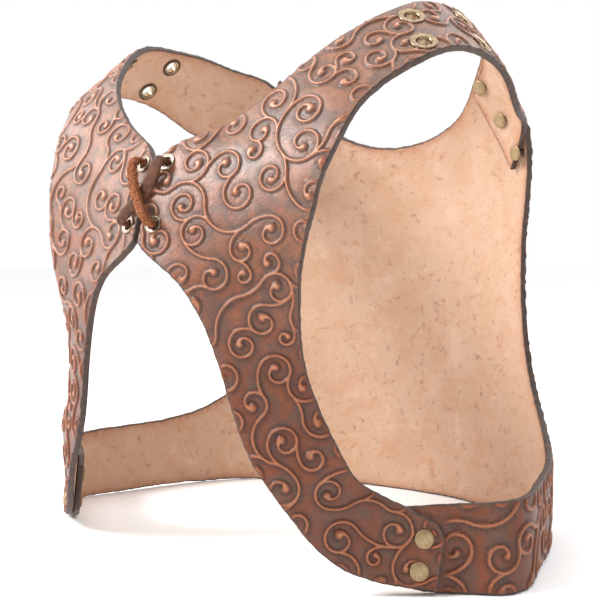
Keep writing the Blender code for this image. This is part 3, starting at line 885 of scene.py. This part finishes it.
def suede():
    n = Nodes("suede")
    nap = n.attribute("nap")
    fibre, clump = n.noise(0.6, 4, 0.75), n.noise(2.2, 3, 0.6)
    rough = n.ramp(clump, (0.3, (96, 50, 28)), (0.5, (140, 80, 48)), (0.7, (172, 108, 70)))
    rough = n.stain(rough, (66, 30, 16), 0.8, fibre, 0.45, 0.62)
    rough = n.stain(rough, (214, 150, 108), 0.8, n.noise(0.8, 3, 0.7), 0.56, 0.66)
    smooth = n.ramp(clump, (0.3, (66, 36, 22)), (0.55, (92, 54, 34)), (0.75, (118, 74, 48)))
    color = n.mix(nap, smooth, rough)
    return n.finish(Base_Color=color, Roughness=n.ranged(nap, 0, 1, 0.5, 0.95), Specular_IOR_Level=0.3,
                    Normal=n.bump(fibre, 0.35, 0.8, n.bump(clump, 0.5, 0.6)))


# Hardware


def turned(name, profile, finish):
    """A mesh turned about Z from a closed profile of (radius, height)."""
    verts, faces, count = [], [], len(profile)
    for k in range(TURN_SEGMENTS):
        turn = 2 * math.pi * k / TURN_SEGMENTS
        verts += [(r * math.cos(turn), r * math.sin(turn), z) for r, z in profile]
        after = (k + 1) % TURN_SEGMENTS
        for i in range(count):
            j = (i + 1) % count
            if profile[i][0] > 0 or profile[j][0] > 0:
                faces.append((k * count + i, after * count + i, after * count + j, k * count + j))
    mesh = build_mesh(name, verts, faces, finish)
    mesh.validate()
    work = bmesh.new()
    work.from_mesh(mesh)
    bmesh.ops.remove_doubles(work, verts=work.verts, dist=1e-7)  # a profile repeats its points on the axis
    bmesh.ops.recalc_face_normals(work, faces=work.faces)
    work.to_mesh(mesh)
    work.free()
    mesh.set_sharp_from_angle(angle=math.radians(50))
    return mesh


def rounded(centre, radii, first, last, count):
    """Points of part of an ellipse about (radius, height), from one angle to another in degrees."""
    turns = np.radians(np.linspace(first, last, count))
    return [(centre[0] + radii[0] * math.cos(t), centre[1] + radii[1] * math.sin(t)) for t in turns]


def eyelet_meshes(kind, radius, hole, finish, dark):
    """An eyelet with a rolled flange, flared over a washer inside. z = 0 is the outer face."""
    barrel = hole + 0.35
    lip = 0.3 * (radius - hole)
    floor = -THICK - WASHER_SEAT
    foot = floor - WASHER_THICK
    flange = (rounded((hole + lip, -0.6), (lip, 1.2), 180, 95, 7)
              + [((hole + radius) / 2 + 0.15, FLANGE_SEAT + 0.4)]
              + rounded((radius - 0.5, FLANGE_SEAT + 0.2), (0.5, 0.55), 105, -40, 8))
    flare = [(barrel, FLANGE_SEAT), (barrel, foot), (hole + 1.1, foot - 0.1), (hole + 1.3, foot - 0.22),
             (hole + 1.2, foot - 0.35), (hole + 0.75, foot - 0.3), (hole + 0.3, foot), (hole + 0.08, floor),
             (hole, 0.3 - THICK)]
    eyelet = turned(kind + "_eyelet", flange + flare, finish)
    rim = radius - 0.6
    washer = turned(kind + "_eyelet_washer", [(barrel + 0.15, floor), (rim - 0.2, floor)]
                    + rounded((rim - 0.3, floor - WASHER_THICK / 2), (0.3, WASHER_THICK / 2), 60, -90, 6)
                    + [(barrel + 0.15, foot)], dark)
    return {"eyelet": eyelet, "washer": washer}


def rivet_meshes(finish):
    """The domed cap and the post of a double-cap rivet. z = 0 is the outer face."""
    stack = 2 * THICK + LAYER_GAP
    bore = POST_RADIUS + 0.3
    cap = turned("rivet_cap", [(0, 1.95), (1.4, 1.92), (2.7, 1.78), (3.6, 1.5)]
                 + rounded((RIVET_RADIUS - 0.55, 0.85), (0.55, 0.45), 70, -40, 6)
                 + [(RIVET_RADIUS - 0.4, SEAT), (bore, SEAT), (bore, 1.1), (0, 1.1)], finish)
    floor = -stack - INNER_SEAT
    post = turned("rivet_post",
                  [(0, 0.85), (POST_RADIUS, 0.85), (POST_RADIUS, floor), (RIVET_RADIUS - 0.3, floor)]
                  + rounded((RIVET_RADIUS - 0.5, floor - 0.45), (0.5, 0.45), 60, -80, 6)
                  + [(2.4, floor - 1.12), (1.2, floor - 1.2), (0, floor - 1.22)], finish)
    return {"rivet_cap": cap, "rivet_post": post}


def stand_on(point, normal, side):
    """The place on a face, or on its mirror image where side is -1."""
    point, normal = Vector(point) * MM, Vector(normal)
    point.x, normal.x = point.x * side, normal.x * side
    return Matrix.Translation(point) @ normal.to_track_quat("Z", "Y").to_matrix().to_4x4()


# Lace


def lace_route(front, eyelets):
    """The CAD lace's middle line."""
    def near(eyelet, side, *outs):
        point, _, _, normal = front.frame(eyelet)
        return [(point + normal * out) * [side, 1, 1] for out in outs]

    top, low = eyelets
    outward = -LACE_UNDER, -THICK / 2, LACE_OVER
    inward = outward[::-1]
    level, base = near(top, 1, 0)[0], near(low, 1, 0)[0]
    crossing = (level + base) / 2
    end = base + [0, LACE_END[1], LACE_END[2]]
    first_run, second_run = ([0, crossing[1] - out, crossing[2] - 1] for out in LACE_CROSSINGS)
    behind = [0, level[1] + LACE_UNDER + 2, level[2] + 1]
    return Curve([
        [-LACE_END[0], end[1], end[2]], *near(low, -1, *outward),
        first_run, *near(top, 1, *inward),
        behind, *near(top, -1, *outward),
        second_run, *near(low, 1, *inward),
        [LACE_END[0], end[1], end[2]],
    ])


def lace_mesh(route, finish):
    """A flat thong along the route, squeezed at the eyelets and rough on its flesh side."""
    rng = np.random.default_rng(SEEDS["lace"])
    count, around = 420, 20
    at = np.linspace(0, route.at[-1], count)
    points = route(at)
    ways = unit(np.gradient(points, axis=0))
    wide, thick, nap = (np.interp(at, route.at, column) for column in zip(*LACE_SECTIONS))
    # the width lies square to the way and to the front, where the lace isn't going straight through
    across = np.cross(ways, [0.25, -1.0, 0.0])
    good = np.linalg.norm(across, axis=1) > 0.75
    across = unit(across)
    for i in np.nonzero(good)[0][1:]:
        before = np.nonzero(good[:i])[0][-1]
        if across[i] @ across[before] < -0.2:
            across[i] = -across[i]
    fixed = np.stack([np.interp(at, at[good], across[good][:, k]) for k in range(3)], axis=-1)
    fixed = unit(fixed - ways * (fixed * ways).sum(axis=1, keepdims=True))
    up = np.cross(ways, fixed)
    turn = 2 * np.pi * np.arange(around) / around
    square = [np.abs(part) ** 0.65 * np.sign(part) for part in (np.cos(turn), np.sin(turn))]
    rough = 1 + 0.09 * rng.normal(size=(count, around)) * (0.2 + 0.8 * nap[:, None])
    verts = (points[:, None] + fixed[:, None] * (wide[:, None] * square[0] * rough)[..., None]
             + up[:, None] * (thick[:, None] * square[1] * rough)[..., None])
    return build_mesh("lace", verts.reshape(-1, 3), tube_faces(0, count, around), finish,
                      nap=np.repeat(nap, around))


def tube_faces(first, count, around, closed=False):
    """The faces round a run of rings of points, with end caps where the run isn't closed."""
    faces = []
    for i in range(count if closed else count - 1):
        a, b = first + i * around, first + (i + 1) % count * around
        faces += [(a + k, a + (k + 1) % around, b + (k + 1) % around, b + k) for k in range(around)]
    if not closed:
        last = first + (count - 1) * around
        faces += [tuple(first + k for k in reversed(range(around))), tuple(last + k for k in range(around))]
    return faces


def knot_mesh(centre, finish):
    """The two ends of the lace tied together: a tight overhand knot with both ends hanging from it."""
    turn = np.linspace(0, 2 * np.pi, 90, endpoint=False)
    knot = np.stack([np.sin(turn) + 2 * np.sin(2 * turn), -np.sin(3 * turn) * 1.1,
                     np.cos(turn) - 2 * np.cos(2 * turn)], axis=-1) * KNOT_SIZE
    runs = [(centre + knot, True)]
    for side in (-1, 1):
        curve = Curve([(0, 0, 0), (side * 2.2, 1.2, -3.5), (side * 3.6, 1.6, -8), (side * 3.2, 2.4, -13)])
        runs.append((centre + curve(np.linspace(0, curve.at[-1], 30)), False))
    verts, faces = [], []
    around = 12
    angles = 2 * np.pi * np.arange(around) / around
    for points, closed in runs:
        first = len(verts)
        on_and_back = np.roll(points, -1, axis=0) - np.roll(points, 1, axis=0)
        ways = unit(on_and_back if closed else np.gradient(points, axis=0))
        across = unit(np.cross(ways, [0.3, 1.0, 0.2]))
        up = np.cross(ways, across)
        rings = (points[:, None] + across[:, None] * (1.9 * np.cos(angles))[:, None]
                 + up[:, None] * (1.25 * np.sin(angles))[:, None])
        verts.extend(rings.reshape(-1, 3))
        faces += tube_faces(first, len(points), around, closed)
    return build_mesh("lace_knot", verts, faces, finish, nap=np.full(len(verts), 0.7))


# Scene


def add_camera():
    """The photograph's view: from the wearer's front left, level with the chest."""
    data = bpy.data.cameras.new("camera")
    data.lens, data.sensor_width = 65.92, 36.0
    data.clip_start, data.clip_end = 0.01, 50
    made = add_object("camera", data)
    made.matrix_world = Matrix((
        (0.7881, -0.0247, 0.6150, 0.3975),
        (0.6155, 0.0395, -0.7872, -0.5036),
        (-0.0048, 0.9989, 0.0463, 0.1636),
        (0, 0, 0, 1)))
    bpy.context.scene.camera = made


def add_lights():
    for name, (place, size, power) in LIGHTS.items():
        data = bpy.data.lights.new(name, "AREA")
        data.shape, data.size, data.energy = "DISK", size, power
        turn = (Vector(LIT_POINT) - Vector(place)).to_track_quat("-Z", "Y").to_matrix().to_4x4()
        add_object(name, data, Matrix.Translation(place) @ turn)
    sun = bpy.data.lights.new("sun", "SUN")
    sun.energy, sun.angle = SUN_STRENGTH, math.radians(SUN_WIDTH)
    add_object("sun", sun, Matrix.Rotation(math.radians(-SUN_TILT), 4, "X"))


def add_surroundings():
    world = bpy.data.worlds.new("world")
    world.use_nodes = True
    tree = world.node_tree
    background = tree.nodes["Background"]
    background.inputs["Color"].default_value = (1, 1, 1, 1)
    light_path = tree.nodes.new("ShaderNodeLightPath").outputs["Is Camera Ray"]
    strength = tree.nodes.new("ShaderNodeMapRange")
    tree.links.new(light_path, strength.inputs["Value"])
    strength.inputs["To Min"].default_value = SKY
    tree.links.new(strength.outputs[0], background.inputs["Strength"])
    bpy.context.scene.world = world
    bpy.context.scene.view_settings.view_transform = "Standard"
    n = Nodes("floor")
    pale = n.mix(n.ranged(n.noise(220, 2), 0.3, 0.7), (0.93, 0.93, 0.93, 1), (0.96, 0.96, 0.96, 1))
    corners = [(-8000, -8000, 0), (8000, -8000, 0), (8000, 8000, 0), (-8000, 8000, 0)]
    mesh = build_mesh("floor", corners, [(0, 1, 2, 3)], n.finish(Base_Color=pale, Roughness=0.75))
    floor = add_object("floor", mesh, Matrix.Translation((0, 0, -0.0004)))


def add_hardware(meshes, places, slot):
    """Every one of the meshes at each place (kind, label, point, normal) and at its mirror image."""
    for side, sign in (("left", 1), ("right", -1)):
        for kind, label, point, normal in places:
            place = stand_on(point, normal, sign)
            for part, mesh in meshes.items():
                node = f"{kind}_{part}_{side}_{label}"
                finish_piece(add_object(node + "_metal", mesh, place), slot, node)


def find_lacing(front):
    """The lacing eyelets' places on the front panel, whose x and z are given."""
    start = front.at_station(12.5, 0.15)
    found = []
    for x, z in LACING_EYELETS:
        y = front.point(start)[1]
        for _ in range(6):
            flat = front.nearest((x, y, z), start)
            y = front.point(flat)[1]
        found.append(flat)
    return found


def riveted(back, front):
    """The rivets' places and the holes for them, in the front panels and in the back panel."""
    layer, post_hole = THICK + LAYER_GAP, POST_RADIUS + POST_ROOM
    rivets, front_holes, back_holes = [], [], []
    # the front panels lie outside the back panel at the waist, and inside it at the shoulders
    seams = (("waist", [np.array(flat, float) for flat in WAIST_RIVETS], (21.5, 0.5), layer, layer),
             ("back", [back.at_xz(*place) for place in BACK_RIVETS], (0.5, 0.5), -layer, 0))
    for where, flats, station, front_face, cap_face in seams:
        start = front.at_station(*station)
        for number, flat in enumerate(flats, 1):
            point, _, _, normal = back.frame(flat)
            rivets.append((where, number, point + normal * cap_face, normal))
            on_front = front.laid(front.nearest(point + normal * front_face, start))
            front_holes.append((on_front, post_hole, RIVET_RADIUS))
            back_holes.append((flat, post_hole, RIVET_RADIUS))
    back_holes += [(centre * [-1, 1], *sizes) for centre, *sizes in back_holes]
    return rivets, front_holes, back_holes


def main():
    add_camera()
    add_surroundings()
    add_lights()
    leather, flesh, edge = embossed_leather(), flesh_side(), cut_edge()
    brass = old_metal("antique_brass", (172, 150, 116), (150, 128, 96), (96, 76, 54), 0.42)
    dark = old_metal("dark_washer", (104, 90, 76), (70, 58, 48), (38, 30, 26), 0.36)
    ring_brass = old_metal("eyelet_brass", (176, 154, 124), (124, 102, 78), (68, 52, 42), 0.24)
    nickel = old_metal("eyelet_nickel", (180, 166, 148), (130, 114, 98), (72, 58, 48), 0.24)

    back = BackSheet()
    front = FrontSheet(back)
    shoulder = [front.at_station(*place) for place in SHOULDER_EYELETS]
    lacing = find_lacing(front)
    rivets, rivet_holes, back_holes = riveted(back, front)
    eyelets = (("shoulder", "eyelet_brass", ring_brass, (1, 2, 3, 4), shoulder, SHOULDER_EYELET_RADIUS,
                SHOULDER_HOLE_RADIUS),
               ("lacing", "eyelet_nickel", nickel, ("top", "low"), lacing, LACING_EYELET_RADIUS,
                LACING_HOLE_RADIUS))
    front_holes = [(front.laid(flat), hole + BARREL_ROOM, radius)
                   for *_, flats, radius, hole in eyelets for flat in flats] + rivet_holes

    def under_waist(flat):
        return smoothstep(*WAIST_LAP, np.abs(flat[:, 0]))

    def under_shoulder(flat):
        return 1 - smoothstep(*(front.at_station(station, 0)[0] for station in SHOULDER_LAP), flat[:, 0])

    finishes = leather, edge, flesh
    Panel("back_panel", back, back_outline(), back_holes, under_waist, finishes, BACK_BOLD, BACK_FINE_STEP)
    outline = front_outline(front)
    for name in ("front_panel_left", "front_panel_right"):
        Panel(name, front, outline, front_holes, under_shoulder, finishes)

    for kind, slot, finish, labels, flats, radius, hole in eyelets:
        places = [(kind, label, *front.frame(flat)[::3]) for label, flat in zip(labels, flats)]
        add_hardware(eyelet_meshes(kind, radius, hole, finish, dark), places, slot)
    add_hardware(rivet_meshes(brass), rivets, "rivet_brass")
    thong = suede()
    route = lace_route(front, lacing)
    finish_piece(add_object("lace_thong", lace_mesh(route, thong)), "suede", "lace")
    finish_piece(add_object("lace_knot", knot_mesh(route.points[[0, -1]].mean(axis=0), thong)), "suede")


main()
